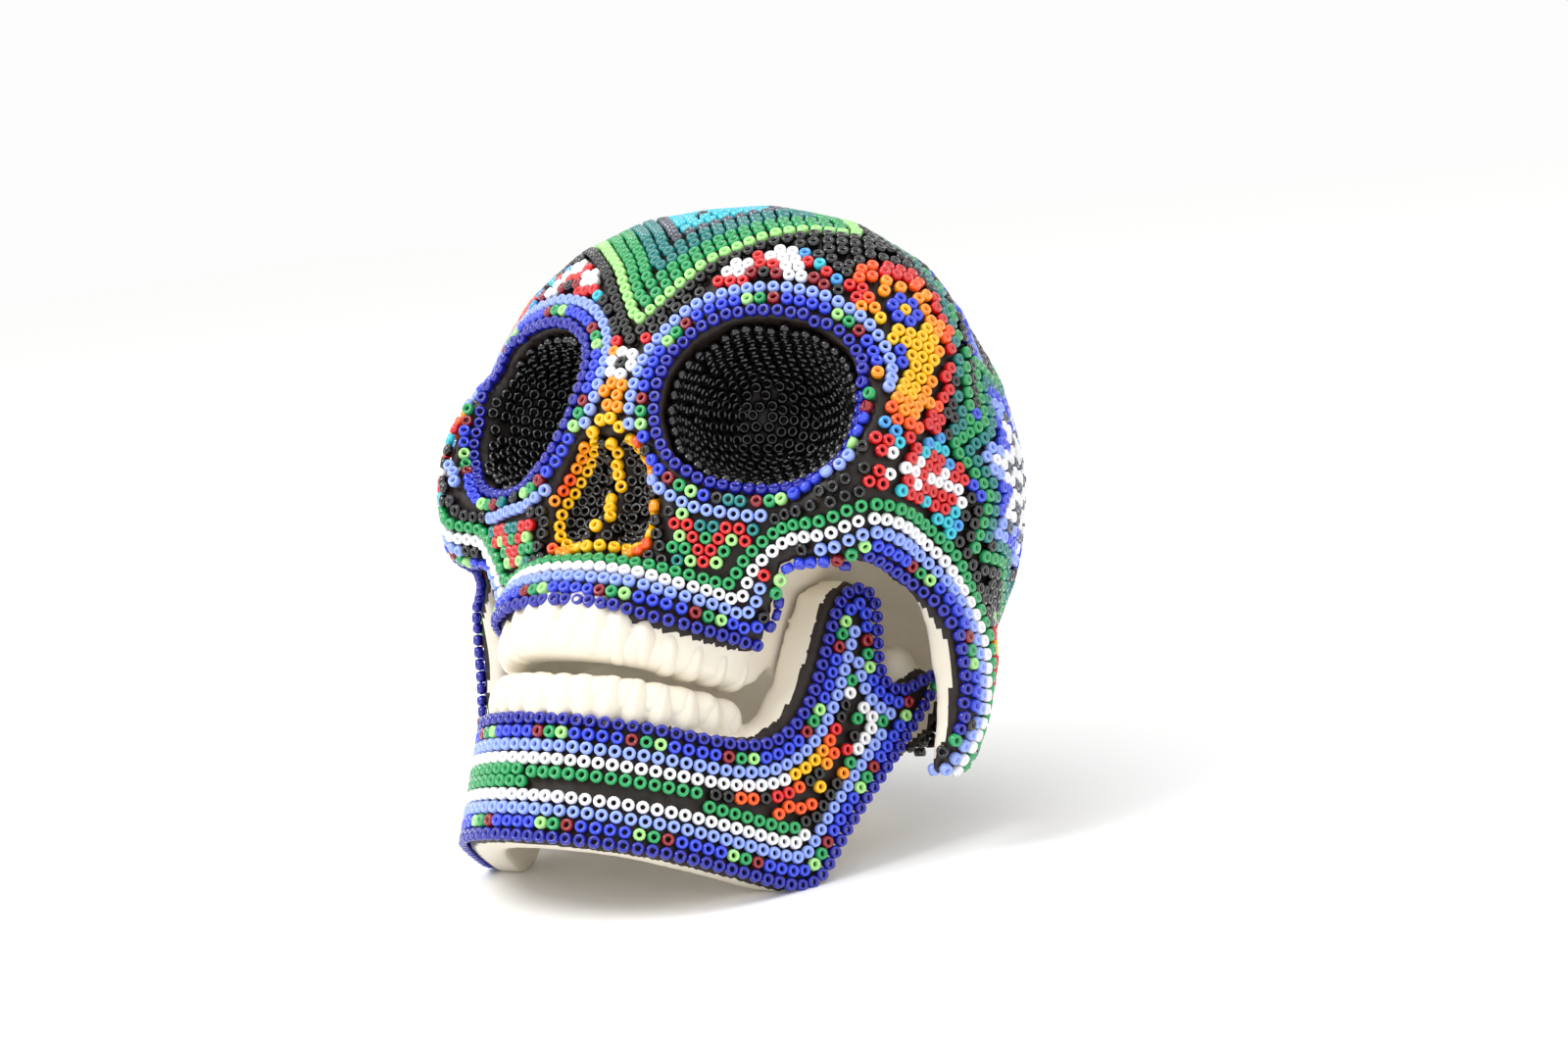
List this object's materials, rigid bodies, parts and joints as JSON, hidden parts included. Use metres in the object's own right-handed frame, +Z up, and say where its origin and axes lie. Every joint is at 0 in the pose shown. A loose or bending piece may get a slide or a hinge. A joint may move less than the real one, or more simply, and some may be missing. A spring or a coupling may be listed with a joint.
{
  "type": "beaded skull figure",
  "caption": "Small resin skull with a separate hinged lower jaw, covered in coloured seed beads set in wax, leaning back on its base and jaw corners.",
  "frame": {"origin": "on the floor, under the middle of the object's bounding box", "axes": "+X to the skull's own left, -Y the way the face looks, +Z up; the skull leans back 25 degrees as it stands in the picture"},
  "size_m": [0.1009, 0.1066, 0.1024],
  "materials": {
    "resin": "satin",
    "wax": "satin",
    "black_beads": "gloss",
    "blue_rim_beads": "gloss",
    "yellow_beads": "gloss",
    "blue_border_beads": "gloss",
    "white_beads": "gloss",
    "cyan_green_beads": "gloss",
    "red_beads": "gloss",
    "flame_beads": "gloss",
    "periwinkle_beads": "gloss",
    "green_beads": "gloss"
  },
  "bodies": {
    "cranium": {"brow_flower_left": "red_beads", "brow_flower_right": "red_beads", "cheek_motif_left": "green_beads", "cheek_motif_right": "green_beads", "cranium_casting": "resin", "cranium_wax": "wax", "crown_diamond": "cyan_green_beads", "forehead_ground_left": "black_beads", "forehead_ground_right": "black_beads", "glabella_flower": "white_beads", "ground_beads": "black_beads", "low_flower_left": "red_beads", "low_flower_right": "red_beads", "nape_motif": "cyan_green_beads", "nose_lining": "black_beads", "nose_ring": "yellow_beads", "orbit_lining_left": "black_beads", "orbit_lining_right": "black_beads", "orbit_ring_left": "blue_rim_beads", "orbit_ring_right": "blue_rim_beads", "side_star_left": "periwinkle_beads", "side_star_right": "periwinkle_beads", "temple_flame_left": "flame_beads", "temple_flame_right": "flame_beads", "upper_edge_border": "blue_border_beads", "zigzag_left": "red_beads", "zigzag_right": "red_beads"},
    "mandible": {"jaw_border_lower": "blue_border_beads", "jaw_border_upper": "blue_border_beads", "jaw_field_left": "black_beads", "jaw_field_right": "black_beads", "mandible_casting": "resin", "mandible_wax": "wax"}
  },
  "joints": [
    {"name": "jaw_hinge", "type": "hinge", "parent": "cranium", "child": "mandible", "pos_m": [0, 0.00711, 0.02685], "axis": [1, 0, 0], "range_deg": [0, 22]}
  ]
}
